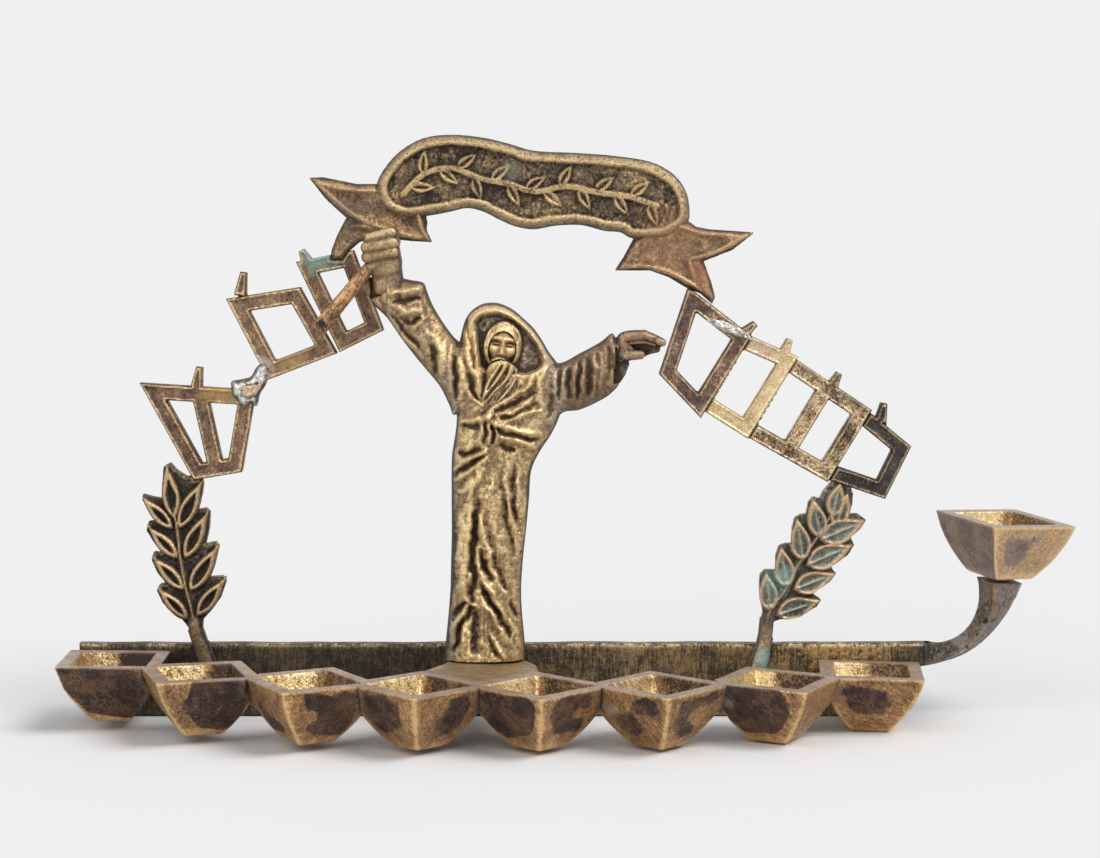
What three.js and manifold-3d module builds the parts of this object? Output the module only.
// Hanukkah menorah in cast brass. Eight square cups stand in a bowed row before an upright rail, an
// openwork arch springs from two sprigs on the rail, a robed figure holds up its banner, and a ninth,
// servant cup sits on a twisted arm at the rail's right end.
// Millimetres, Z up. The origin is the middle of the rail's underside, and the front is -Y. Pieces are
// drawn with the rail's front face as the plane Y = 0, and the whole is then moved back to the origin.

import * as THREE from 'three';
import { mergeVertices } from 'three/addons/utils/BufferGeometryUtils.js';
import Module from 'manifold-3d';

const wasm = await Module();
wasm.setup();

// Clearances
const FIT = 0.3; // between any two pieces that touch
const RUNNING_FIT = 0.09; // round the screw that the servant cup turns on
const OVERRUN = 40; // how far a cutting shape runs past what it cuts

// Rail
const RAIL_LENGTH = 238.4;
const RAIL_HEIGHT = 20.9;
const RAIL_THICKNESS = 3.8;
const RAIL_EDGE = 0.5; // rounding of its long edges
const RAIL_CORNER = [3.8, 5.6]; // its lower left corner is cut off: width, height
const RAIL_HEEL = [8.8, 2.9]; // how far its right end draws back below the arm: at the floor, at the arm

// Row of cups
const CUP_SIDE = 28; // outer side of the square rim
const CUP_HEIGHT = 16.3;
const CUP_FOOT_SIDE = 10.3;
const CUP_WALL = 3.8; // at the rim
const CUP_DEPTH = 12.4;
const CUP_WELL_SIDE = 7.4; // floor of the cavity
const CUP_CORNER = 0.5; // flat on each outer corner
const WELL_CORNER = 1.4; // flat on each inner corner
const CUP_PITCHES = 7.568; // along the rail: how many times a cup's pitch goes into its length
const ROW_LEAN = THREE.MathUtils.degToRad(0.75); // the row's left end rides a little high

// Plate under the figure
const PLATE_THICKNESS = 3.6;

// Arch
const ARCH_SPAN = 215; // over the outermost links
const ARCH_RISE = 141.4; // from the rail's top to the banner's
const ARCH_THICKNESS = 4.6;
const LINK_STROKE = 4.3; // width of a link's bars
const LINK_BEVEL = 0.9;
const SPUR_WIDTH = 3.4;
const BANNER_BEVEL = 1.5;
const BANNER_BORDER = 1.5; // raised line inside the bevel
const BANNER_SUNK = 0.9; // depth of the ground between the borders
const VINE_STEM = 1.8;
const VINE_LEAF_LENGTH = 7.4;
const VINE_LEAF_WIDTH = 3.5;
const LEFT_LEAF_WIDTH_SHARE = 0.33; // of a leaf's length
const RIGHT_LEAF_WIDTH_SHARE = 0.36; // of a leaf's length
const LEAF_BELLY_SHARE = 0.4; // of its length from its root: where it is widest
const LEAF_RIM_SHARE = 0.17; // of its width: the raised edge round its hollow
const LEAF_BEVEL_SHARE = 0.09; // of its width
const LEAF_SUNK = 0.8; // depth of a leaf's hollow
const SPRIG_WEB_SUNK = 1.5; // how far the ground between the leaves lies behind them
const STEM_WIDTH = 4.6; // at the rail
const STEM_TAPER = 0.3; // share of that width left at its tip
const LEFT_SOLDER = 5.2; // radius of the lump
const RIGHT_SOLDER_LENGTH = 16;
const RIGHT_SOLDER_WIDTH = 3;
const SOLDER_DEPTH = 4.4; // the lumps stand half in and half before the links' faces

// Figure
const FIGURE_SEAT = 0.45; // gap between its foot and the leaning plate
const FIGURE_EDGE = 3; // thickness at the outline
const ROBE_BULGE = 6.6; // how far the robe stands out before its edge
const SLEEVE_BULGE = 4.8;
const HOOD_BULGE = 5.6;
const FOLD_HEIGHT = 1.1;
const FOLD_WIDTH = 1.5;
const HEAD_WIDTH = 9;
const HEAD_LENGTH = 12.6;
const HEAD_DEPTH = 7;
const EYE_LEVEL = 0.6; // above the middle of the head
const EYE_SPACING = 3.8;
const EYE_SIZE = 1.9;
const BROW_THICKNESS = 0.9;
const BROW_HEIGHT = 1.5; // above the eyes
const NOSE_LENGTH = 3.3;
const NOSE_WIDTH = 1.9;
const NOSE_STAND = 1.3; // from the face to its tip
const MOUTH_DROP = 3.9; // under the eyes
const MOUSTACHE_REACH = 3.3;
const MOUSTACHE_THICKNESS = 1.5;
const HOLLOW_WIDTH = 15; // shadow of the hood round the face
const HOLLOW_LENGTH = 19;
const HOLLOW_DEPTH = 5.6;
const BEARD_WIDTH = 8.6;
const BEARD_BULGE = 3.2;
const KNOT_WIDTH = 6;
const KNOT_DEPTH = 3.4;
const TAIL_WIDTH = 2.6;
const FINGER_THICKNESS = 2.6;
const FIST_DEPTH = 7.2;
const ROD_WIDE = 4.6; // lower end
const ROD_NARROW = 3.2; // end in the fist
const ROD_BORE = 2.4;
const ROD_BORE_DEPTH = 5;

// Servant arm and cup
const SERVANT_REACH = 19.4; // from the rail's end to the cup's middle
const SERVANT_SEAT_HEIGHT = 38.4; // top of the arm above the floor
const SERVANT_LEAN = THREE.MathUtils.degToRad(4.2); // out, away from the rail
const SERVANT_NOD = THREE.MathUtils.degToRad(2.4); // towards the front
const SERVANT_TURN = THREE.MathUtils.degToRad(-18.5);
const SERVANT_FOOT_SIDE = 13;
const SERVANT_BOSS_RADIUS = 3.4;
const SERVANT_BOSS_HEIGHT = 1.1;
const ARM_ROOT_HEIGHT = 6.2;
const ARM_HEAD_SIDE = 9.7;
const ARM_WAIST = [1.9, 0.4]; // how much slimmer it is halfway: its height, its width
const ARM_TWIST = THREE.MathUtils.degToRad(72); // from its root to its head

// Screws
const SCREW_RADIUS = 1.3;
const SCREW_HEAD_RADIUS = 2.5;
const SCREW_HEAD_HEIGHT = 1.5;
const SCREW_SLOT_WIDTH = 0.7;
const SCREW_SLOT_DEPTH = 0.7;
const SCREW_BITE = 8; // length of thread in a blind hole
const SCREW_SHORT = 1.3; // how far a row screw stops inside the cup's wall
const SCREW_BELOW_RIM = 4.2;

// Shapes and counts that no size sets
const SIDE_SWELL = 0.6; // how far the cups' sides bulge out from straight
const QUARTER = Math.PI / 2;
const ROUND = 24; // sides of a round piece
const ROBE_GRID = [34, 18]; // rows along a limb, and steps across it
const HOOD_GRID = [12, 14];
const LEFT_SLEEVE_GRID = [14, 10];
const RIGHT_SLEEVE_GRID = [12, 10];

// Each cup's middle in shares of the pitch, from the rail's middle and its front face, then its turn
// in degrees: the ends stand square to the rail and the middle ones nearly point forwards.
const CUP_PLACE_SHARES = [
  [-3.405, -0.458, -43.6],
  [-2.575, -1.007, -26.7],
  [-1.624, -1.303, -14.3],
  [-0.696, -1.444, -0.4],
  [0.304, -1.415, 2.2],
  [1.311, -1.304, 4.7],
  [2.315, -1.006, 18.4],
  [3.186, -0.5, 40],
];

// Everything in the arch is drawn from in front: the first share is of the span, from the middle, and
// the second of the rise, from the rail's top.
// A link is its lower left, upper left, upper right and lower right corner, in that order.
const LEFT_LINK_SHARES = [
  [[-0.4, 0.327], [-0.468, 0.518], [-0.319, 0.504], [-0.338, 0.343]],
  [[-0.303, 0.524], [-0.356, 0.682], [-0.261, 0.705], [-0.214, 0.576]],
  [[-0.211, 0.578], [-0.266, 0.754], [-0.192, 0.777], [-0.154, 0.621]],
];
const RIGHT_LINK_SHARES = [
  [[0.199, 0.535], [0.236, 0.706], [0.318, 0.61], [0.253, 0.449]],
  [[0.243, 0.476], [0.3, 0.621], [0.378, 0.569], [0.314, 0.408]],
  [[0.299, 0.424], [0.36, 0.58], [0.473, 0.465], [0.417, 0.323]],
  [[0.4, 0.337], [0.455, 0.48], [0.524, 0.394], [0.491, 0.29]],
];
const LEFT_RUNG_SHARES = [[0.5], [], []]; // upright bars inside a link, along its width
const RIGHT_RUNG_SHARES = [[], [], [0.52], []];
// A pointed spur on each link, from a place on the frame to its tip
const LEFT_SPUR_SHARES = [
  [[-0.396, 0.504], [-0.392, 0.549]],
  [[-0.338, 0.688], [-0.334, 0.734]],
  [[-0.25, 0.75], [-0.26, 0.776]],
];
const RIGHT_SPUR_SHARES = [
  [[0.304, 0.61], [0.322, 0.635]],
  [[0.358, 0.57], [0.366, 0.604]],
  [[0.42, 0.507], [0.43, 0.538]],
  [[0.484, 0.44], [0.488, 0.478]],
];
const LEFT_SOLDER_SHARE = [-0.326, 0.522];
const RIGHT_SOLDER_SHARES = [[0.268, 0.638], [0.311, 0.61]];

const RIBBON_SHARES = [
  [-0.162, 0.905], [-0.145, 0.949], [-0.123, 0.978], [-0.098, 0.995], [-0.065, 1], [-0.025, 0.994],
  [0.008, 0.982], [0.039, 0.969], [0.09, 0.965], [0.136, 0.96], [0.184, 0.949], [0.213, 0.928],
  [0.23, 0.899], [0.237, 0.864], [0.234, 0.828], [0.205, 0.8], [0.166, 0.799], [0.149, 0.811],
  [0.128, 0.814], [0.099, 0.825], [0.067, 0.824], [0.039, 0.817], [0.016, 0.822], [-0.005, 0.835],
  [-0.026, 0.851], [-0.047, 0.858], [-0.069, 0.851], [-0.098, 0.843], [-0.13, 0.84], [-0.155, 0.862],
];
const LEFT_TAIL_SHARES = [
  [-0.249, 0.916], [-0.209, 0.91], [-0.163, 0.905], [-0.126, 0.884], [-0.102, 0.855], [-0.098, 0.831],
  [-0.101, 0.812], [-0.092, 0.792], [-0.117, 0.798], [-0.143, 0.804], [-0.174, 0.82], [-0.202, 0.842],
  [-0.227, 0.88],
];
const RIGHT_TAIL_SHARES = [
  [0.2, 0.828], [0.232, 0.842], [0.248, 0.824], [0.264, 0.817], [0.294, 0.814], [0.321, 0.812],
  [0.293, 0.783], [0.259, 0.756], [0.257, 0.738], [0.268, 0.711], [0.27, 0.682], [0.258, 0.688],
  [0.243, 0.711], [0.219, 0.732], [0.187, 0.738], [0.142, 0.737], [0.154, 0.765], [0.166, 0.799],
];
const FOLD_STRIP_SHARES = [
  [-0.199, 0.847], [-0.169, 0.83], [-0.158, 0.803], [-0.194, 0.789], [-0.206, 0.754], [-0.224, 0.769],
  [-0.217, 0.804],
];
const VINE_SHARES = [
  [-0.128, 0.885], [-0.1, 0.925], [-0.065, 0.935], [-0.03, 0.915], [0.005, 0.905], [0.04, 0.89],
  [0.08, 0.9], [0.12, 0.888], [0.16, 0.88], [0.195, 0.862],
];
const VINE_LEAVES = 15;

// Stem first, then the leaves, each from its node on the stem to its tip, then the outline of the
// ground that the leaves lie on
const LEFT_STEM_SHARES = [[-0.387, -0.037], [-0.393, -0.005], [-0.4, 0.026], [-0.404, 0.066], [-0.411, 0.11],
  [-0.418, 0.171], [-0.422, 0.231], [-0.426, 0.272]];
const LEFT_LEAF_SHARES = [
  [[-0.425, 0.247], [-0.435, 0.359]],
  [[-0.426, 0.229], [-0.468, 0.296]],
  [[-0.421, 0.229], [-0.389, 0.328]],
  [[-0.419, 0.17], [-0.461, 0.239]],
  [[-0.414, 0.17], [-0.382, 0.267]],
  [[-0.412, 0.108], [-0.455, 0.178]],
  [[-0.408, 0.105], [-0.369, 0.2]],
  [[-0.407, 0.049], [-0.449, 0.116]],
  [[-0.4, 0.055], [-0.36, 0.136]],
];
const LEFT_GROUND_SHARES = [
  [-0.407, 0.03], [-0.42, 0.056], [-0.435, 0.07], [-0.443, 0.086], [-0.45, 0.109], [-0.446, 0.121],
  [-0.438, 0.123], [-0.449, 0.145], [-0.456, 0.169], [-0.453, 0.185], [-0.443, 0.183], [-0.454, 0.207],
  [-0.462, 0.228], [-0.459, 0.246], [-0.448, 0.246], [-0.457, 0.264], [-0.467, 0.288], [-0.466, 0.299],
  [-0.455, 0.294], [-0.44, 0.29], [-0.441, 0.319], [-0.439, 0.353], [-0.431, 0.361], [-0.423, 0.347],
  [-0.41, 0.334], [-0.392, 0.337], [-0.388, 0.321], [-0.39, 0.299], [-0.397, 0.268], [-0.385, 0.272],
  [-0.38, 0.264], [-0.381, 0.234], [-0.386, 0.201], [-0.373, 0.205], [-0.369, 0.195], [-0.374, 0.167],
  [-0.382, 0.135], [-0.365, 0.137], [-0.36, 0.127], [-0.368, 0.093], [-0.38, 0.068], [-0.391, 0.05],
  [-0.392, 0.03],
];
const RIGHT_STEM_SHARES = [[0.329, -0.045], [0.334, -0.019], [0.338, 0.01], [0.34, 0.046], [0.346, 0.074],
  [0.363, 0.11], [0.378, 0.156], [0.395, 0.195], [0.41, 0.229], [0.423, 0.264]];
const RIGHT_LEAF_SHARES = [
  [[0.425, 0.229], [0.444, 0.306]],
  [[0.405, 0.208], [0.468, 0.249]],
  [[0.409, 0.209], [0.397, 0.294]],
  [[0.388, 0.158], [0.451, 0.2]],
  [[0.386, 0.164], [0.377, 0.255]],
  [[0.372, 0.11], [0.43, 0.144]],
  [[0.365, 0.11], [0.357, 0.2]],
  [[0.35, 0.059], [0.411, 0.091]],
  [[0.344, 0.063], [0.338, 0.148]],
];
const RIGHT_GROUND_SHARES = [
  [0.33, 0.03], [0.335, 0.066], [0.331, 0.09], [0.33, 0.119], [0.331, 0.139], [0.337, 0.149],
  [0.351, 0.149], [0.351, 0.177], [0.355, 0.195], [0.363, 0.201], [0.372, 0.201], [0.372, 0.232],
  [0.375, 0.25], [0.382, 0.258], [0.39, 0.26], [0.393, 0.284], [0.4, 0.294], [0.407, 0.29],
  [0.412, 0.305], [0.426, 0.33], [0.445, 0.32], [0.45, 0.3], [0.449, 0.28], [0.445, 0.26],
  [0.457, 0.26], [0.467, 0.248], [0.459, 0.23], [0.447, 0.216], [0.452, 0.199], [0.444, 0.179],
  [0.422, 0.157], [0.429, 0.141], [0.421, 0.127], [0.398, 0.103], [0.41, 0.09], [0.404, 0.076],
  [0.385, 0.066], [0.365, 0.056], [0.348, 0.046], [0.347, 0.03],
];

// The figure is drawn from in front too: shares of the arch's span, and of the height from its foot to
// the top of its hood. Each station is the left and right end of one row across a limb, then the share
// of the limb's bulge that it has.
const HOOD_TOP_SHARE = 0.675; // of the arch's rise
const ROBE_SHARES = [
  [[-0.077, 0], [0.027, 0], 0.9],
  [[-0.075, 0.051], [0.026, 0.051], 0.92],
  [[-0.071, 0.131], [0.023, 0.131], 0.86],
  [[-0.069, 0.197], [0.022, 0.197], 0.86],
  [[-0.068, 0.279], [0.024, 0.279], 0.9],
  [[-0.067, 0.355], [0.028, 0.355], 0.95],
  [[-0.067, 0.449], [0.032, 0.449], 1],
  [[-0.067, 0.53], [0.035, 0.53], 1],
  [[-0.066, 0.58], [0.046, 0.585], 1],
  [[-0.062, 0.635], [0.061, 0.635], 1],
  [[-0.06, 0.682], [0.072, 0.69], 1],
  [[-0.062, 0.735], [0.077, 0.745], 1],
  [[-0.06, 0.79], [0.076, 0.8], 0.9],
  [[-0.056, 0.83], [0.068, 0.835], 0.7],
];
const LEFT_ARM_SHARES = [
  [[-0.06, 0.69], [-0.024, 0.79], 0.6],
  [[-0.082, 0.769], [-0.048, 0.87], 0.95],
  [[-0.106, 0.834], [-0.064, 0.906], 1],
  [[-0.129, 0.898], [-0.08, 0.954], 1],
  [[-0.148, 0.959], [-0.092, 1.001], 1],
  [[-0.168, 1.004], [-0.098, 1.035], 1],
  [[-0.176, 1.06], [-0.103, 1.057], 0.9],
];
const RIGHT_ARM_SHARES = [
  [[0.045, 0.83], [0.05, 0.66], 0.7],
  [[0.072, 0.831], [0.076, 0.695], 1],
  [[0.097, 0.859], [0.097, 0.702], 1],
  [[0.123, 0.89], [0.123, 0.727], 1],
  [[0.139, 0.915], [0.148, 0.778], 0.9],
];
const HOOD_SHARES = [
  [[-0.058, 0.72], [0.078, 0.72], 0.75],
  [[-0.059, 0.8], [0.073, 0.807], 0.9],
  [[-0.058, 0.865], [0.062, 0.867], 1],
  [[-0.054, 0.915], [0.048, 0.911], 1],
  [[-0.045, 0.957], [0.032, 0.953], 0.9],
  [[-0.032, 0.985], [0.013, 0.984], 0.7],
  [[-0.018, 1], [-0.005, 1], 0.4],
];
const HEAD_SHARE = [-0.001, 0.88];
const HEAD_TILT = THREE.MathUtils.degToRad(9);
const BEARD_SHARES = [[0, 0.85], [-0.006, 0.79], [-0.017, 0.74], [-0.025, 0.71]];
const BEARD_TAPER_SHARES = [0.8, 1, 0.75, 0.25];
const LEFT_PALM_SHARE = [-0.153, 1.15];
const LEFT_WRIST_SHARE = [-0.146, 1.045];
const RIGHT_WRIST_SHARE = [0.132, 0.83];
const RIGHT_PALM_SHARE = [0.169, 0.872];
const RIGHT_FINGER_SHARES = [
  [[0.168, 0.905], [0.199, 0.899]],
  [[0.17, 0.88], [0.2, 0.878]],
  [[0.17, 0.855], [0.196, 0.856]],
  [[0.168, 0.832], [0.188, 0.836]],
];
const LEFT_FINGER_SHARES = [
  [[-0.166, 1.17], [-0.142, 1.184]],
  [[-0.169, 1.148], [-0.14, 1.162]],
  [[-0.17, 1.126], [-0.14, 1.14]],
];
const ROD_SHARES = [[-0.156, 1.136], [-0.235, 0.927]];
const KNOT_SHARE = [-0.016, 0.65];
const TAIL_SHARES = [[[-0.018, 0.65], [-0.025, 0.596]], [[-0.012, 0.65], [-0.004, 0.598]]];
// Ridges of the robe, from one end to the other, with a share of the fold's height: below zero is a
// groove
const FOLD_SHARES = [
  { height: 1.2, line: [[-0.072, 0.48], [-0.03, 0.556], [0, 0.6]] },
  { height: 1, line: [[-0.072, 0.44], [-0.033, 0.505], [-0.008, 0.56]] },
  { height: 1, line: [[-0.048, 0.435], [-0.051, 0.307], [-0.054, 0.19]] },
  { height: -1.6, line: [[-0.033, 0.46], [-0.034, 0.336], [-0.036, 0.165]] },
  { height: 0.9, line: [[-0.009, 0.58], [-0.012, 0.449], [-0.009, 0.33]] },
  { height: -0.9, line: [[0.008, 0.57], [0.007, 0.449], [0.016, 0.36]] },
  { height: 0.8, line: [[0.022, 0.56], [0.018, 0.449], [0.024, 0.35]] },
  { height: 1, line: [[-0.028, 0.392], [-0.015, 0.279], [0.006, 0.17]] },
  { height: 1.1, line: [[-0.031, 0.265], [-0.012, 0.18], [0.018, 0.04]] },
  { height: 1, line: [[-0.026, 0.165], [-0.008, 0.094], [0.006, 0]] },
  { height: -1.5, line: [[-0.038, 0.165], [-0.048, 0.07], [-0.05, 0]] },
  { height: 1, line: [[-0.05, 0.18], [-0.068, 0.05]] },
  { height: 1.3, line: [[-0.068, 0.665], [-0.016, 0.656], [0.014, 0.63], [0.055, 0.6]] },
  { height: -1, line: [[-0.068, 0.635], [-0.016, 0.625], [0.014, 0.603], [0.045, 0.578]] },
  { height: 1.1, line: [[-0.005, 0.716], [0.021, 0.753], [0.06, 0.792]] },
  { height: 1.1, line: [[0.002, 0.682], [0.034, 0.716], [0.07, 0.75]] },
  { height: 1, line: [[-0.05, 0.88], [-0.045, 0.8], [-0.032, 0.716]] },
];
const SLEEVE_FOLD_SHARES = [
  { height: 0.9, line: [[-0.1, 0.9], [-0.078, 0.86], [-0.056, 0.74]] },
  { height: 0.9, line: [[-0.135, 0.97], [-0.11, 0.93], [-0.085, 0.8]] },
  { height: 0.8, line: [[-0.16, 1.04], [-0.12, 0.96]] },
  { height: 1.1, line: [[-0.18, 1.045], [-0.1, 1.045]] },
  { height: 0.9, line: [[0.078, 0.83], [0.084, 0.71]] },
  { height: 0.9, line: [[0.094, 0.85], [0.1, 0.72]] },
  { height: 0.9, line: [[0.11, 0.87], [0.118, 0.74]] },
  { height: 1.2, line: [[0.133, 0.91], [0.142, 0.78]] },
];

// Materials
function metal(color, roughness) {
  return new THREE.MeshStandardMaterial({ color, roughness, metalness: 1 });
}
const burnishedBrass = metal(0x9a7636, 0.42);
const darkBrass = metal(0x4d4028, 0.5);
const brownBrass = metal(0x5f4534, 0.48);
const greenBrass = metal(0x5c6a52, 0.62);
const copper = metal(0x7a4a2e, 0.4);
const solderGrey = metal(0xa9aaa6, 0.55);
const steel = metal(0x6d6a62, 0.45);

// Geometry helpers
const lerp = THREE.MathUtils.lerp;

function toSolid(geometry) {
  const bare = geometry.clone();
  bare.deleteAttribute('normal');
  bare.deleteAttribute('uv');
  const merged = mergeVertices(bare);
  return new wasm.Manifold(new wasm.Mesh({
    numProp: 3,
    vertProperties: new Float32Array(merged.attributes.position.array),
    triVerts: new Uint32Array(merged.index.array),
  }));
}

function toGeometry(solid) {
  const mesh = solid.getMesh();
  const geometry = new THREE.BufferGeometry();
  geometry.setAttribute('position', new THREE.BufferAttribute(new Float32Array(mesh.vertProperties), 3));
  geometry.setIndex(new THREE.BufferAttribute(new Uint32Array(mesh.triVerts), 1));
  geometry.computeVertexNormals();
  return geometry;
}

function cut(solid, ...cutters) {
  return cutters.reduce((left, cutter) => left.subtract(cutter), solid);
}

function join(...solids) {
  return solids.reduce((whole, solid) => whole.add(solid));
}

// Closed skin over rings of equally many points, each ring counter-clockwise seen from the last one
function loft(rings) {
  const count = rings[0].length;
  const positions = rings.flat().flatMap((point) => [point.x, point.y, point.z]);
  const index = [];
  for (let ring = 0; ring + 1 < rings.length; ring += 1) {
    for (let at = 0; at < count; at += 1) {
      const next = (at + 1) % count;
      const a = ring * count + at;
      const b = ring * count + next;
      index.push(a, b, b + count, a, b + count, a + count);
    }
  }
  const last = (rings.length - 1) * count;
  for (let at = 1; at + 1 < count; at += 1) {
    index.push(0, at + 1, at);
    index.push(last, last + at, last + at + 1);
  }
  const geometry = new THREE.BufferGeometry();
  geometry.setAttribute('position', new THREE.Float32BufferAttribute(positions, 3));
  geometry.setIndex(index);
  return geometry;
}

// A block between two corners
function block(low, high) {
  const size = new THREE.Vector3().subVectors(high, low);
  const geometry = new THREE.BoxGeometry(size.x, size.y, size.z);
  const middle = new THREE.Vector3().addVectors(low, high).multiplyScalar(0.5);
  return toSolid(geometry.translate(middle.x, middle.y, middle.z));
}

// A round bar between two points
function bar(from, to, startRadius, endRadius = startRadius, sides = ROUND) {
  const along = new THREE.Vector3().subVectors(to, from);
  const geometry = new THREE.CylinderGeometry(endRadius, startRadius, along.length(), sides);
  geometry.applyQuaternion(new THREE.Quaternion().setFromUnitVectors(
    new THREE.Vector3(0, 1, 0), along.clone().normalize()));
  const middle = new THREE.Vector3().addVectors(from, to).multiplyScalar(0.5);
  return toSolid(geometry.translate(middle.x, middle.y, middle.z));
}

// An egg shape with its three half-widths, turned about Y
function egg(middle, halves, turn = 0) {
  const geometry = new THREE.SphereGeometry(1, ROUND / 2, ROUND / 3);
  geometry.scale(halves.x, halves.y, halves.z);
  geometry.rotateY(turn);
  return toSolid(geometry.translate(middle.x, middle.y, middle.z));
}

function distanceToLine(point, line) {
  let nearest = Infinity;
  for (let at = 0; at + 1 < line.length; at += 1) {
    const segment = new THREE.Vector2().subVectors(line[at + 1], line[at]);
    const offset = new THREE.Vector2().subVectors(point, line[at]);
    const share = THREE.MathUtils.clamp(offset.dot(segment) / segment.lengthSq(), 0, 1);
    nearest = Math.min(nearest, offset.sub(segment.multiplyScalar(share)).length());
  }
  return nearest;
}

// Outlines seen from in front, in x and z
function archPoint([spanShare, riseShare]) {
  return new THREE.Vector2(spanShare * ARCH_SPAN, RAIL_HEIGHT + riseShare * ARCH_RISE);
}

function smooth(points) {
  const curve = new THREE.CatmullRomCurve3(
    points.map((point) => new THREE.Vector3(point.x, point.y, 0)), true, 'centripetal');
  return curve.getPoints(points.length * 2).slice(0, -1).map((point) => new THREE.Vector2(point.x, point.y));
}

// The outline moved out by a distance, or in by a negative one, with its corners kept sharp
function offsetOutline(points, distance) {
  const ring = THREE.ShapeUtils.isClockWise(points) ? [...points].reverse() : points;
  return ring.map((point, at) => {
    const before = ring[(at + ring.length - 1) % ring.length];
    const after = ring[(at + 1) % ring.length];
    const into = new THREE.Vector2().subVectors(point, before).normalize();
    const away = new THREE.Vector2().subVectors(after, point).normalize();
    const normal = new THREE.Vector2(into.y + away.y, -into.x - away.x).normalize();
    const slant = Math.max(normal.dot(new THREE.Vector2(into.y, -into.x)), 0.35);
    return point.clone().addScaledVector(normal, distance / slant);
  });
}

// A flat casting: the outline filled from its back plane forwards, towards -Y, with bevelled edges
function slab(points, back, thickness, bevel, hole = null) {
  const shape = new THREE.Shape(points);
  if (hole) {
    shape.holes.push(new THREE.Path(hole));
  }
  const geometry = new THREE.ExtrudeGeometry(shape, {
    depth: thickness - 2 * bevel,
    bevelEnabled: bevel > 0,
    bevelThickness: bevel,
    bevelSize: bevel,
    bevelOffset: -bevel,
    bevelSegments: 1,
  });
  return toSolid(geometry.translate(0, 0, bevel).rotateX(QUARTER).translate(0, back, 0));
}

// The same outline as a tool that cuts a neighbour free of it, right through
function clearOf(points, grow = FIT) {
  const depth = 2 * OVERRUN;
  return slab(offsetOutline(points, grow), OVERRUN, depth, 0);
}

// Pieces
const menorah = new THREE.Group();
menorah.position.y = -RAIL_THICKNESS / 2;

function addPart(parent, name, solid, material) {
  const mesh = new THREE.Mesh(toGeometry(solid), material);
  mesh.name = name;
  parent.add(mesh);
  return mesh;
}

// A slotted screw: its head starts at the seat and stands away from the way it is driven
function screw(seat, driven, length) {
  const headEnd = seat.clone().addScaledVector(driven, -SCREW_HEAD_HEIGHT);
  const tip = seat.clone().addScaledVector(driven, length);
  const neck = seat.clone().lerp(headEnd, 0.5);
  const solid = join(bar(headEnd, seat, SCREW_HEAD_RADIUS), bar(neck, tip, SCREW_RADIUS));
  const across = Math.abs(driven.z) > 0.5 ? new THREE.Vector3(0, 1, 0) : new THREE.Vector3(0, 0, 1);
  const side = new THREE.Vector3().crossVectors(driven, across);
  const reach = new THREE.Vector3()
    .addScaledVector(across, SCREW_HEAD_RADIUS + FIT)
    .addScaledVector(side, SCREW_SLOT_WIDTH / 2);
  const low = headEnd.clone().sub(reach).addScaledVector(driven, -SCREW_SLOT_DEPTH);
  const high = headEnd.clone().add(reach).addScaledVector(driven, SCREW_SLOT_DEPTH);
  const slot = block(low.clone().min(high), high.clone().max(low));
  return cut(solid, slot);
}

// The hole that a screw passes through or bites in
function screwHole(from, to) {
  return bar(from, to, SCREW_RADIUS + FIT);
}

// Cups
function squareRing(half, corner, height, turn) {
  const flat = half - corner;
  const corners = [
    [half, -flat], [half, flat], [flat, half], [-flat, half],
    [-half, flat], [-half, -flat], [-flat, -half], [flat, -half],
  ];
  const axis = new THREE.Vector3(0, 0, 1);
  return corners.map(([x, y]) => new THREE.Vector3(x, y, height).applyAxisAngle(axis, turn));
}

function swelling(footSide, rimSide, share) {
  return lerp(footSide, rimSide, share + SIDE_SWELL * share * (1 - share));
}

// A square bowl on its foot, with a corner to the front when the turn is zero
function bowl(footSide, turn) {
  const OUTER_SHARES = [0, 0.12, 0.3, 0.55, 1];
  const INNER_SHARES = [1, 0.55, 0.2, 0];
  const set = turn + QUARTER / 2;
  const outer = OUTER_SHARES.map((share) => squareRing(
    swelling(footSide, CUP_SIDE, share) / 2, CUP_CORNER, share * CUP_HEIGHT, set));
  const inner = INNER_SHARES.map((share) => squareRing(
    swelling(CUP_WELL_SIDE, CUP_SIDE - 2 * CUP_WALL, share) / 2, WELL_CORNER,
    lerp(CUP_HEIGHT - CUP_DEPTH, CUP_HEIGHT, share), set));
  return toSolid(loft([...outer, ...inner]));
}

// The space that a row cup takes up, its clearance and its cavity included
function cupEnvelope(turn) {
  const ENVELOPE_SHARES = [0, 0.12, 0.3, 0.55, 1];
  const rings = ENVELOPE_SHARES.map((share) => squareRing(
    swelling(CUP_FOOT_SIDE, CUP_SIDE, share) / 2 + FIT, CUP_CORNER, share * CUP_HEIGHT, turn + QUARTER / 2));
  const brim = squareRing(CUP_SIDE / 2 + FIT, CUP_CORNER, CUP_HEIGHT + FIT, turn + QUARTER / 2);
  return toSolid(loft([...rings, brim]));
}

const cupPitch = RAIL_LENGTH / CUP_PITCHES;
const cupPlaces = CUP_PLACE_SHARES.map(([xShare, yShare, turn]) => ({
  middle: new THREE.Vector2(xShare * cupPitch, yShare * cupPitch),
  turn: THREE.MathUtils.degToRad(turn),
}));
const lastCup = cupPlaces[cupPlaces.length - 1];

// Height of the leaning row at a place along the rail: the last cup's foot stands on the floor
function rowHeight(x, height) {
  const lowest = lastCup.middle.x + CUP_FOOT_SIDE / 2;
  return height * Math.cos(ROW_LEAN) + (lowest - x) * Math.sin(ROW_LEAN);
}

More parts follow.
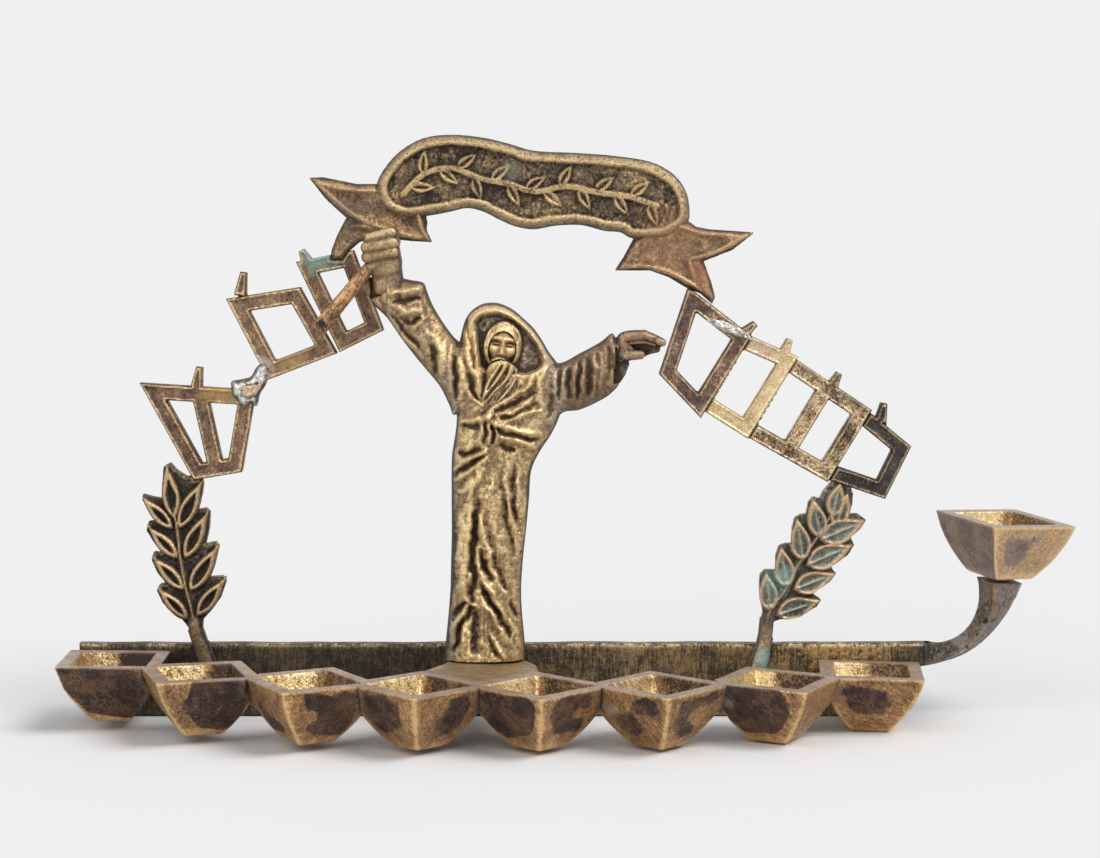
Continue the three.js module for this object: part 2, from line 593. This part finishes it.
// Half of the row's space, past the middle plane between two cups, a half clearance short of it
function beyondJoint(cup, neighbour) {
  const along = new THREE.Vector2().subVectors(neighbour.middle, cup.middle);
  const half = along.length() / 2;
  const box = new THREE.BoxGeometry(OVERRUN, 2 * OVERRUN, 2 * OVERRUN);
  box.translate(half - FIT / 2 + OVERRUN / 2, 0, 0);
  box.rotateZ(along.angle());
  return toSolid(box.translate(cup.middle.x, cup.middle.y, 0));
}

function railSide() {
  return block(new THREE.Vector3(-OVERRUN - RAIL_LENGTH, -FIT, -OVERRUN),
    new THREE.Vector3(OVERRUN + RAIL_LENGTH, OVERRUN, OVERRUN));
}

function rowScrewHeight() {
  return CUP_HEIGHT - SCREW_BELOW_RIM;
}

function rowCup(at) {
  const cup = cupPlaces[at];
  let solid = bowl(CUP_FOOT_SIDE, cup.turn).translate([cup.middle.x, cup.middle.y, 0]);
  if (at > 0) {
    solid = cut(solid, beyondJoint(cup, cupPlaces[at - 1]));
  }
  if (at + 1 < cupPlaces.length) {
    solid = cut(solid, beyondJoint(cup, cupPlaces[at + 1]));
  }
  if (at === 0 || at + 1 === cupPlaces.length) {
    const height = rowScrewHeight();
    solid = cut(solid, railSide(), screwHole(
      new THREE.Vector3(cup.middle.x, OVERRUN, height),
      new THREE.Vector3(cup.middle.x, cup.middle.y, height)));
  }
  return solid;
}

function addRow(parent) {
  const row = new THREE.Group();
  row.rotation.y = ROW_LEAN;
  row.position.z = rowHeight(0, 0);
  parent.add(row);
  cupPlaces.forEach((cup, at) => addPart(row, `cup_${at + 1}`, rowCup(at), brownBrass));
  addPart(row, 'figure_plate', figurePlate(), darkBrass);
}

// Plate behind the two middle cups, flush with their rims, back to the rail
const FOOT_SHARES = [-0.077, 0.027]; // of the arch's span
const footMiddle = ((FOOT_SHARES[0] + FOOT_SHARES[1]) / 2) * ARCH_SPAN;
const figureBack = -(FIT + ARCH_THICKNESS + FIT);
const footScrewY = figureBack - (FIGURE_EDGE + ROBE_BULGE) / 2;

function figurePlate() {
  const left = cupPlaces[3].middle;
  const right = cupPlaces[4].middle;
  const reach = CUP_SIDE * Math.SQRT1_2;
  const shoulder = FOOT_SHARES.map((share) => share * ARCH_SPAN);
  const kneeY = lerp(left.y + reach, 0, 0.45);
  const outline = [
    new THREE.Vector2(left.x, left.y),
    new THREE.Vector2(right.x, right.y),
    new THREE.Vector2(right.x, right.y + reach),
    new THREE.Vector2(shoulder[1] + FIGURE_EDGE, kneeY),
    new THREE.Vector2(shoulder[1] - FIGURE_EDGE, -FIT),
    new THREE.Vector2(shoulder[0] + FIGURE_EDGE, -FIT),
    new THREE.Vector2(shoulder[0], kneeY),
    new THREE.Vector2(left.x, left.y + reach),
  ];
  const depth = PLATE_THICKNESS;
  const flat = new THREE.ExtrudeGeometry(new THREE.Shape(outline), { depth, bevelEnabled: false });
  const solid = toSolid(flat.translate(0, 0, CUP_HEIGHT - depth));
  const envelopes = [cupPlaces[3], cupPlaces[4]].map((cup) => cupEnvelope(cup.turn)
    .translate([cup.middle.x, cup.middle.y, 0]));
  const hole = screwHole(new THREE.Vector3(footMiddle, footScrewY, -OVERRUN),
    new THREE.Vector3(footMiddle, footScrewY, OVERRUN));
  return cut(solid, ...envelopes, hole);
}

// Rail
function rail() {
  const half = RAIL_LENGTH / 2;
  const [cornerWidth, cornerHeight] = RAIL_CORNER;
  const [heel, throat] = RAIL_HEEL;
  const armFoot = RAIL_HEIGHT - ARM_ROOT_HEIGHT;
  const outline = [
    new THREE.Vector2(cornerWidth - half, 0), new THREE.Vector2(half - heel, 0),
    new THREE.Vector2(half - throat, armFoot - RAIL_EDGE), new THREE.Vector2(half, armFoot),
    new THREE.Vector2(half, RAIL_HEIGHT), new THREE.Vector2(-half, RAIL_HEIGHT),
    new THREE.Vector2(-half, cornerHeight),
  ];
  const solid = slab(outline, RAIL_THICKNESS, RAIL_THICKNESS, RAIL_EDGE);
  const holes = [cupPlaces[0], lastCup].map(({ middle }) => {
    const height = rowHeight(middle.x, rowScrewHeight());
    return screwHole(new THREE.Vector3(middle.x, -OVERRUN, height),
      new THREE.Vector3(middle.x, OVERRUN, height));
  });
  return cut(solid, ...holes);
}

// A screw from behind the rail into an end cup's wall, stopping short of the cavity
function rowScrew({ middle, turn }) {
  const height = rowHeight(middle.x, rowScrewHeight());
  const seat = new THREE.Vector3(middle.x, RAIL_THICKNESS + FIT, height);
  const wellShare = (rowScrewHeight() - (CUP_HEIGHT - CUP_DEPTH)) / CUP_DEPTH;
  const wellSide = swelling(CUP_WELL_SIDE, CUP_SIDE - 2 * CUP_WALL, wellShare);
  const wallFace = middle.y + wellSide / 2 / Math.cos(QUARTER / 2 - Math.abs(turn));
  const length = seat.y - wallFace - SCREW_SHORT;
  return screw(seat, new THREE.Vector3(0, -1, 0), length);
}

// Links of the arch: a slanted frame with a spur
function linkFrame(corners) {
  const inner = offsetOutline(corners, -LINK_STROKE).reverse();
  return slab(corners, -FIT, ARCH_THICKNESS, LINK_BEVEL, inner);
}

function spur([root, tip]) {
  const along = new THREE.Vector2().subVectors(tip, root).normalize();
  const across = new THREE.Vector2(-along.y, along.x).multiplyScalar(SPUR_WIDTH / 2);
  const outline = [
    root.clone().sub(across), root.clone().add(across),
    tip.clone().addScaledVector(across, 0.4), tip.clone().addScaledVector(across, -0.6),
  ];
  const front = ARCH_THICKNESS - 2 * LINK_BEVEL;
  return slab(outline, -FIT - LINK_BEVEL, front, 0);
}

function rung([lowLeft, highLeft, highRight, lowRight], share) {
  const top = highLeft.clone().lerp(highRight, share);
  const foot = lowLeft.clone().lerp(lowRight, share);
  const inset = top.clone().sub(foot).setLength(LINK_STROKE / 2);
  const across = highRight.clone().sub(highLeft).setLength(LINK_STROKE / 2);
  const ends = [foot.add(inset), top.sub(inset)];
  const outline = [
    ends[0].clone().sub(across), ends[0].clone().add(across),
    ends[1].clone().add(across), ends[1].clone().sub(across),
  ];
  return slab(outline, -FIT, ARCH_THICKNESS, LINK_BEVEL);
}

function link(cornerShares, spurShares, rungShares) {
  const corners = cornerShares.map(archPoint);
  const rungs = rungShares.map((share) => rung(corners, share));
  return join(linkFrame([...corners].reverse()), spur(spurShares.map(archPoint)), ...rungs);
}

const leftCorners = LEFT_LINK_SHARES.map((shares) => shares.map(archPoint));
const rightCorners = RIGHT_LINK_SHARES.map((shares) => shares.map(archPoint));

// Solder
function leftSolder(grow) {
  const radius = LEFT_SOLDER + grow;
  const middle = archPoint(LEFT_SOLDER_SHARE);
  return egg(new THREE.Vector3(middle.x, -FIT - ARCH_THICKNESS, middle.y),
    new THREE.Vector3(radius, SOLDER_DEPTH / 2 + grow, radius));
}

function rightSolder(grow) {
  const [from, to] = RIGHT_SOLDER_SHARES.map(archPoint);
  const along = new THREE.Vector2().subVectors(to, from);
  const middle = new THREE.Vector2().addVectors(from, to).multiplyScalar(0.5);
  return egg(new THREE.Vector3(middle.x, -FIT - ARCH_THICKNESS, middle.y),
    new THREE.Vector3(RIGHT_SOLDER_LENGTH / 2 + grow, SOLDER_DEPTH / 2 + grow, RIGHT_SOLDER_WIDTH / 2 + grow),
    -along.angle());
}

// Banner
function ribbonOutline() {
  return smooth(RIBBON_SHARES.map(archPoint));
}

function leafOutline(base, tip, width, steps = 5) {
  const along = new THREE.Vector2().subVectors(tip, base);
  const across = new THREE.Vector2(-along.y, along.x).normalize();
  const power = Math.log(0.5) / Math.log(LEAF_BELLY_SHARE);
  const side = (share, sign) => base.clone()
    .addScaledVector(along, share)
    .addScaledVector(across, sign * (width / 2) * Math.sin(Math.PI * share ** power));
  const shares = Array.from({ length: steps }, (_, at) => (at + 1) / (steps + 1));
  return [
    base,
    ...shares.map((share) => side(share, -1)),
    tip,
    ...shares.reverse().map((share) => side(share, 1)),
  ];
}

function vine(floor) {
  const curve = new THREE.SplineCurve(VINE_SHARES.map(archPoint));
  const height = BANNER_SUNK;
  const back = floor + height;
  const stemPoints = curve.getPoints(VINE_SHARES.length * 2);
  const across = (at) => {
    const tangent = curve.getTangent(at / (stemPoints.length - 1));
    return new THREE.Vector2(-tangent.y, tangent.x).multiplyScalar(VINE_STEM / 2);
  };
  const stem = [
    ...stemPoints.map((point, at) => point.clone().sub(across(at))),
    ...stemPoints.map((point, at) => point.clone().add(across(at))).reverse(),
  ];
  const leaves = Array.from({ length: VINE_LEAVES }, (_, at) => {
    const share = (at + 0.6) / VINE_LEAVES;
    const base = curve.getPoint(share);
    const heading = curve.getTangent(share).angle() + (at % 2 ? 1 : -1) * 0.85;
    const tip = base.clone().add(new THREE.Vector2(Math.cos(heading), Math.sin(heading))
      .multiplyScalar(VINE_LEAF_LENGTH));
    return slab(leafOutline(base, tip, VINE_LEAF_WIDTH, 3), back, 2 * height, 0);
  });
  return join(slab(stem, back, 2 * height, 0), ...leaves);
}

function banner() {
  const outline = ribbonOutline();
  const front = -FIT - ARCH_THICKNESS;
  const ground = slab(offsetOutline(outline, -BANNER_BEVEL - BANNER_BORDER), front + BANNER_SUNK,
    BANNER_SUNK + FIT, 0);
  const ribbon = cut(slab(outline, -FIT, ARCH_THICKNESS, BANNER_BEVEL), ground);
  const tailThickness = ARCH_THICKNESS - BANNER_SUNK;
  const tails = [LEFT_TAIL_SHARES, RIGHT_TAIL_SHARES].map((shares) => cut(
    slab(shares.map(archPoint).reverse(), -FIT, tailThickness, LINK_BEVEL),
    slab(offsetOutline(outline, -BANNER_BEVEL), OVERRUN, 2 * OVERRUN, 0)));
  const strip = slab(FOLD_STRIP_SHARES.map(archPoint).reverse(), -FIT, tailThickness - LINK_BEVEL, LINK_BEVEL);
  const trim = slab(offsetOutline(outline, -BANNER_BEVEL), -FIT, ARCH_THICKNESS, 0);
  const scroll = vine(front).intersect(trim);
  return join(ribbon, ...tails, strip, scroll);
}

// Sprigs
// Below the cups' rims a stem stands clear of the end cup on its side
function besideEndCup(point) {
  const cup = point.x < 0 ? cupPlaces[0] : lastCup;
  const turn = cup.turn + QUARTER / 2;
  const reach = (CUP_SIDE / 2) * (Math.abs(Math.cos(turn)) + Math.abs(Math.sin(turn)));
  const farthest = Math.abs(cup.middle.x) - reach - FIT - STEM_WIDTH / 2;
  if (point.y > rowHeight(cup.middle.x, CUP_HEIGHT) + STEM_WIDTH / 2 || Math.abs(point.x) < farthest) {
    return point;
  }
  return new THREE.Vector2(Math.sign(point.x) * farthest, point.y);
}

function sprig(stemShares, leafShares, leafWidthShare, groundShares) {
  const stem = stemShares.map(archPoint).map(besideEndCup);
  const bars = Array.from({ length: stem.length - 1 }, (_, at) => {
    const [from, to] = stem.slice(at, at + 2);
    const width = lerp(STEM_WIDTH, STEM_WIDTH * STEM_TAPER, at / (stem.length - 2));
    const along = new THREE.Vector2().subVectors(to, from).normalize();
    const side = new THREE.Vector2(-along.y, along.x).multiplyScalar(width / 2);
    const ends = along.clone().multiplyScalar(width / 4);
    const start = from.clone().sub(ends);
    const finish = to.clone().add(ends);
    return slab([start.clone().sub(side), finish.clone().sub(side), finish.clone().add(side),
      start.clone().add(side)], -FIT, ARCH_THICKNESS, 0);
  });
  const ground = slab(groundShares.map(archPoint), -FIT, ARCH_THICKNESS - SPRIG_WEB_SUNK, 0);
  const leaves = leafShares.map(([base, tip]) => {
    const [root, end] = [archPoint(base), archPoint(tip)];
    const width = root.distanceTo(end) * leafWidthShare;
    const outline = leafOutline(root, end, width);
    const hollow = offsetOutline(outline, -width * LEAF_RIM_SHARE);
    return cut(slab(outline, -FIT, ARCH_THICKNESS, width * LEAF_BEVEL_SHARE),
      slab(hollow, LEAF_SUNK - FIT - ARCH_THICKNESS, LEAF_SUNK + FIT, 0));
  });
  return join(...bars, ground, ...leaves);
}

// Figure
const footHeight = rowHeight(footMiddle, CUP_HEIGHT) + FIGURE_SEAT;
const figureRise = RAIL_HEIGHT + HOOD_TOP_SHARE * ARCH_RISE - footHeight;

function figurePoint([spanShare, riseShare]) {
  return new THREE.Vector2(spanShare * ARCH_SPAN, footHeight + riseShare * figureRise);
}

function foldRelief(point, folds) {
  return folds.reduce((sum, fold) => {
    const near = distanceToLine(point, fold.line) / FOLD_WIDTH;
    return sum + fold.height * FOLD_HEIGHT * Math.exp(-near * near);
  }, 0);
}

function foldLines(shares) {
  return shares.map(({ height, line }) => ({ height, line: line.map(figurePoint) }));
}

// A limb in relief: a flat back and a swelling front over rows of stations, with folds
function relief(stationShares, bulge, foldShares, [rows, across]) {
  const folds = foldLines(foldShares);
  const lefts = stationShares.map(([left]) => figurePoint(left));
  const rights = stationShares.map(([, right]) => figurePoint(right));
  const leftCurve = new THREE.SplineCurve(lefts);
  const rightCurve = new THREE.SplineCurve(rights);
  const rings = Array.from({ length: rows + 1 }, (_, row) => {
    const at = row / rows;
    const left = leftCurve.getPoint(at);
    const right = rightCurve.getPoint(at);
    const station = at * (stationShares.length - 1);
    const low = Math.min(Math.floor(station), stationShares.length - 2);
    const swell = bulge * lerp(stationShares[low][2], stationShares[low + 1][2], station - low);
    const front = Array.from({ length: across + 1 }, (__, step) => {
      const share = (1 - Math.cos(Math.PI * step / across)) / 2;
      const point = left.clone().lerp(right, share);
      const round = Math.sin(Math.PI * share) ** 0.6;
      const fold = foldRelief(point, folds) * Math.min(1, 4 * round * round);
      const depth = FIGURE_EDGE + swell * round + fold * Math.sign(round);
      return new THREE.Vector3(point.x, figureBack - depth, point.y);
    });
    const backLeft = new THREE.Vector3(left.x, figureBack, left.y);
    const backRight = new THREE.Vector3(right.x, figureBack, right.y);
    return [backLeft, ...front, backRight];
  });
  const solid = toSolid(loft(rings));
  return solid.volume() < 0 ? toSolid(loft(rings.reverse())) : solid;
}

function onFigure(share, depth) {
  const point = figurePoint(share);
  return new THREE.Vector3(point.x, figureBack - depth, point.y);
}

// A place on the front of the head, across and up from its middle, out from its surface
function onFace(across, up, out) {
  const middle = onFigure(HEAD_SHARE, FIGURE_EDGE + HOOD_BULGE - HEAD_DEPTH / 2);
  const side = across / (HEAD_WIDTH / 2);
  const rise = up / (HEAD_LENGTH / 2);
  const swell = Math.sqrt(Math.max(0, 1 - side * side - rise * rise)) * HEAD_DEPTH / 2;
  return new THREE.Vector3(across, -swell - out, up)
    .applyAxisAngle(new THREE.Vector3(0, 1, 0), HEAD_TILT).add(middle);
}

// Skull, brows, lidded eyes, nose and moustache
function head() {
  const skull = egg(onFigure(HEAD_SHARE, FIGURE_EDGE + HOOD_BULGE - HEAD_DEPTH / 2),
    new THREE.Vector3(HEAD_WIDTH / 2, HEAD_DEPTH / 2, HEAD_LENGTH / 2), HEAD_TILT);
  const eyeX = EYE_SPACING / 2;
  const socket = new THREE.Vector3(EYE_SIZE / 2 + FIT, EYE_SIZE / 2, EYE_SIZE / 2);
  const lid = new THREE.Vector3(EYE_SIZE / 2, EYE_SIZE / 2, EYE_SIZE / 3);
  const browUp = EYE_LEVEL + BROW_HEIGHT;
  const noseEnd = EYE_LEVEL - NOSE_LENGTH;
  const mouth = EYE_LEVEL - MOUTH_DROP;
  const face = [-1, 1].reduce((solid, side) => {
    const brow = bar(onFace(side * NOSE_WIDTH / 3, browUp, 0), onFace(side * (eyeX + EYE_SIZE / 2), browUp, 0),
      BROW_THICKNESS / 2, BROW_THICKNESS / 3, 8);
    const whisker = bar(onFace(0, mouth, 0), onFace(side * MOUSTACHE_REACH, mouth - MOUSTACHE_THICKNESS, 0),
      MOUSTACHE_THICKNESS / 2, MOUSTACHE_THICKNESS / 4, 8);
    const eye = egg(onFace(side * eyeX, EYE_LEVEL, -EYE_SIZE / 3), lid, HEAD_TILT);
    return join(cut(solid, egg(onFace(side * eyeX, EYE_LEVEL, EYE_SIZE / 4), socket, HEAD_TILT)),
      brow, whisker, eye);
  }, skull);
  const nose = bar(onFace(0, browUp, -NOSE_WIDTH / 3), onFace(0, noseEnd, NOSE_STAND - NOSE_WIDTH / 2),
    NOSE_WIDTH / 4, NOSE_WIDTH / 2, 8);
  return join(face, nose);
}

function hoodHollow() {
  const middle = onFigure(HEAD_SHARE, FIGURE_EDGE + HOOD_BULGE + FIT);
  return egg(middle, new THREE.Vector3(HOLLOW_WIDTH / 2, HOLLOW_DEPTH, HOLLOW_LENGTH / 2), HEAD_TILT);
}

function beard() {
  const line = BEARD_SHARES.map(figurePoint);
  const rings = line.map((point, at) => {
    const width = BEARD_WIDTH * BEARD_TAPER_SHARES[at];
    const depth = FIGURE_EDGE + ROBE_BULGE + BEARD_BULGE * BEARD_TAPER_SHARES[at];
    const sides = 8;
    return Array.from({ length: sides + 1 }, (_, step) => {
      const angle = Math.PI * step / sides;
      return new THREE.Vector3(point.x - Math.cos(angle) * width / 2,
        figureBack - FIGURE_EDGE - (depth - FIGURE_EDGE) * Math.sin(angle) ** 0.7, point.y);
    });
  });
  const solid = toSolid(loft(rings));
  return solid.volume() < 0 ? toSolid(loft(rings.reverse())) : solid;
}

function knot() {
  const depth = FIGURE_EDGE + ROBE_BULGE;
  const middle = onFigure(KNOT_SHARE, depth);
  const body = egg(middle, new THREE.Vector3(KNOT_WIDTH / 2, KNOT_DEPTH / 2, KNOT_WIDTH / 2));
  const tails = TAIL_SHARES.map(([from, to]) => bar(onFigure(from, depth), onFigure(to, depth - FOLD_HEIGHT),
    TAIL_WIDTH / 2, TAIL_WIDTH / 2, 8));
  return join(body, ...tails);
}

// Both hands: a palm on its wrist, and fingers laid across it
const handDepth = FIGURE_EDGE + SLEEVE_BULGE / 2;

function hand(wristShare, palmShare, fingerShares, halves, turn) {
  const palm = onFigure(palmShare, handDepth);
  const wrist = bar(onFigure(wristShare, handDepth), palm, halves.x, halves.x, 10);
  const fingers = fingerShares.map(([from, to]) => {
    const radius = FINGER_THICKNESS / 2;
    const start = onFigure(from, handDepth + halves.y - radius / 2);
    const finish = onFigure(to, handDepth + halves.y - radius);
    const roundTip = egg(finish, new THREE.Vector3(radius, radius, radius));
    return join(bar(start, finish, radius, radius, 8), roundTip);
  });
  return join(egg(palm, halves, turn), wrist, ...fingers);
}

function rodEnds() {
  return ROD_SHARES.map((share) => onFigure(share, handDepth));
}

function figure() {
  const robe = relief(ROBE_SHARES, ROBE_BULGE, FOLD_SHARES, ROBE_GRID);
  const leftArm = relief(LEFT_ARM_SHARES, SLEEVE_BULGE, SLEEVE_FOLD_SHARES, LEFT_SLEEVE_GRID);
  const rightArm = relief(RIGHT_ARM_SHARES, SLEEVE_BULGE, SLEEVE_FOLD_SHARES, RIGHT_SLEEVE_GRID);
  const hood = relief(HOOD_SHARES, HOOD_BULGE, FOLD_SHARES, HOOD_GRID);
  const fist = hand(LEFT_WRIST_SHARE, LEFT_PALM_SHARE, LEFT_FINGER_SHARES,
    new THREE.Vector3(FIST_DEPTH / 2, FIST_DEPTH / 2, FIST_DEPTH / 2 + FINGER_THICKNESS / 2), 0);
  const palm = hand(RIGHT_WRIST_SHARE, RIGHT_PALM_SHARE, RIGHT_FINGER_SHARES,
    new THREE.Vector3(FIST_DEPTH / 2, FINGER_THICKNESS, FIST_DEPTH / 2), 0);
  const [rodTop, rodEnd] = rodEnds();
  const rodSpace = bar(rodTop, rodEnd, ROD_NARROW / 2 + FIT, ROD_WIDE / 2 + FIT);
  const footHole = screwHole(new THREE.Vector3(footMiddle, footScrewY, 0),
    new THREE.Vector3(footMiddle, footScrewY, footHeight + SCREW_BITE + FIT));
  const torso = cut(join(robe, hood), hoodHollow());
  const body = join(torso, leftArm, rightArm, head(), beard(), knot(), fist, palm);
  return cut(body, rodSpace, footHole);
}

function handRod() {
  const [top, end] = rodEnds();
  const along = new THREE.Vector3().subVectors(end, top).normalize();
  const start = top.clone().addScaledVector(along, FIT);
  const solid = bar(start, end, ROD_NARROW / 2, ROD_WIDE / 2, 16);
  const bore = bar(end.clone().addScaledVector(along, -ROD_BORE_DEPTH), end.clone().addScaledVector(along, FIT),
    ROD_BORE / 2, ROD_BORE / 2, 12);
  return cut(solid, bore);
}

function figureScrew() {
  const seat = rowHeight(footMiddle, CUP_HEIGHT - PLATE_THICKNESS) - FIT;
  const length = footHeight + SCREW_BITE - seat;
  return screw(new THREE.Vector3(footMiddle, footScrewY, seat), new THREE.Vector3(0, 0, 1), length);
}

// Servant arm: a square bar along a curve from the rail's end up to the cup's seat
const armEnd = new THREE.Vector3(RAIL_LENGTH / 2 + SERVANT_REACH, RAIL_THICKNESS / 2, SERVANT_SEAT_HEIGHT);
const servantTilt = new THREE.Euler(SERVANT_NOD, SERVANT_LEAN, 0);
const servantAxis = new THREE.Vector3(0, 0, 1).applyEuler(servantTilt);

function servantArm() {
  const start = new THREE.Vector3(RAIL_LENGTH / 2 + FIT, RAIL_THICKNESS / 2, RAIL_HEIGHT - ARM_ROOT_HEIGHT / 2);
  const rise = armEnd.z - start.z;
  const run = armEnd.x - start.x;
  const curve = new THREE.CubicBezierCurve3(start, start.clone().add(new THREE.Vector3(run * 0.62, 0, 0)),
    armEnd.clone().addScaledVector(servantAxis, -rise * 0.5), armEnd);
  const steps = 14;
  const rings = Array.from({ length: steps + 1 }, (_, step) => {
    const at = step / steps;
    const middle = curve.getPoint(at);
    const tangent = curve.getTangent(at);
    const up = new THREE.Vector3().crossVectors(tangent, new THREE.Vector3(0, 1, 0)).normalize();
    const across = new THREE.Vector3().crossVectors(up, tangent);
    const turn = ARM_TWIST * at ** 0.8;
    const grow = at ** 2.5;
    const waist = 4 * at * (1 - at);
    const tall = (lerp(ARM_ROOT_HEIGHT, ARM_HEAD_SIDE, grow) - ARM_WAIST[0] * waist) / 2;
    const wide = (lerp(RAIL_THICKNESS, ARM_HEAD_SIDE, grow) - ARM_WAIST[1] * waist) / 2;
    const corners = [[tall, wide], [tall, -wide], [-tall, -wide], [-tall, wide]];
    return corners.map(([high, deep]) => middle.clone()
      .addScaledVector(up, high * Math.cos(turn) - deep * Math.sin(turn))
      .addScaledVector(across, high * Math.sin(turn) + deep * Math.cos(turn)));
  });
  const shell = toSolid(loft(rings));
  const solid = shell.volume() < 0 ? toSolid(loft(rings.reverse())) : shell;
  const bottom = armEnd.clone().addScaledVector(servantAxis, -SCREW_BITE - FIT);
  const top = armEnd.clone().addScaledVector(servantAxis, OVERRUN);
  return cut(solid, screwHole(bottom, top));
}

// The cup and its screw are drawn in the frame of the arm's head, with the axis along Z
function servantCup() {
  const lift = FIT + SERVANT_BOSS_HEIGHT;
  const cup = bowl(SERVANT_FOOT_SIDE, SERVANT_TURN).translate([0, 0, lift]);
  const boss = bar(new THREE.Vector3(0, 0, FIT), new THREE.Vector3(0, 0, lift + FIT), SERVANT_BOSS_RADIUS);
  const hole = bar(new THREE.Vector3(0, 0, -OVERRUN), new THREE.Vector3(0, 0, OVERRUN),
    SCREW_RADIUS + RUNNING_FIT);
  return cut(join(cup, boss), hole);
}

function servantScrew() {
  const seat = FIT + SERVANT_BOSS_HEIGHT + CUP_HEIGHT - CUP_DEPTH + FIT;
  return screw(new THREE.Vector3(0, 0, seat), new THREE.Vector3(0, 0, -1), seat + SCREW_BITE);
}

// Assembly
addPart(menorah, 'back_rail', rail(), darkBrass);
addRow(menorah);
addPart(menorah, 'row_screw_left', rowScrew(cupPlaces[0]), steel);
addPart(menorah, 'row_screw_right', rowScrew(lastCup), steel);

const bannerSolid = banner();
const stripSpace = clearOf(FOLD_STRIP_SHARES.map(archPoint));
const dropSpace = clearOf(RIGHT_TAIL_SHARES.map(archPoint));
const leftTailSpace = clearOf(LEFT_TAIL_SHARES.map(archPoint));
addPart(menorah, 'banner', bannerSolid, burnishedBrass);

leftCorners.forEach((corners, at) => {
  const cutters = [leftSolder(FIT), stripSpace, leftTailSpace];
  if (at > 0) {
    cutters.push(clearOf(leftCorners[at - 1]));
  }
  const solid = cut(link(LEFT_LINK_SHARES[at], LEFT_SPUR_SHARES[at], LEFT_RUNG_SHARES[at]), ...cutters);
  addPart(menorah, `fret_left_${at + 1}`, solid, burnishedBrass);
});
rightCorners.forEach((corners, at) => {
  const cutters = [rightSolder(FIT), dropSpace];
  if (at > 0) {
    cutters.push(clearOf(rightCorners[at - 1]));
  }
  const solid = cut(link(RIGHT_LINK_SHARES[at], RIGHT_SPUR_SHARES[at], RIGHT_RUNG_SHARES[at]), ...cutters);
  addPart(menorah, `fret_right_${at + 1}`, solid, at < 2 ? burnishedBrass : darkBrass);
});
addPart(menorah, 'solder_left', leftSolder(0), solderGrey);
addPart(menorah, 'solder_right', rightSolder(0), solderGrey);
addPart(menorah, 'sprig_left', cut(sprig(LEFT_STEM_SHARES, LEFT_LEAF_SHARES, LEFT_LEAF_WIDTH_SHARE,
  LEFT_GROUND_SHARES),
  clearOf(leftCorners[0])), burnishedBrass);
addPart(menorah, 'sprig_right', cut(sprig(RIGHT_STEM_SHARES, RIGHT_LEAF_SHARES, RIGHT_LEAF_WIDTH_SHARE,
  RIGHT_GROUND_SHARES),
  clearOf(rightCorners[rightCorners.length - 1])), greenBrass);

addPart(menorah, 'figure', figure(), burnishedBrass);
addPart(menorah, 'hand_rod', handRod(), copper);
addPart(menorah, 'figure_screw', figureScrew(), steel);

addPart(menorah, 'servant_arm', servantArm(), darkBrass);
const seat = new THREE.Group();
seat.position.copy(armEnd);
seat.rotation.copy(servantTilt);
menorah.add(seat);
addPart(seat, 'servant_cup', servantCup(), brownBrass);
addPart(seat, 'servant_cup_screw', servantScrew(), steel);

export default menorah;
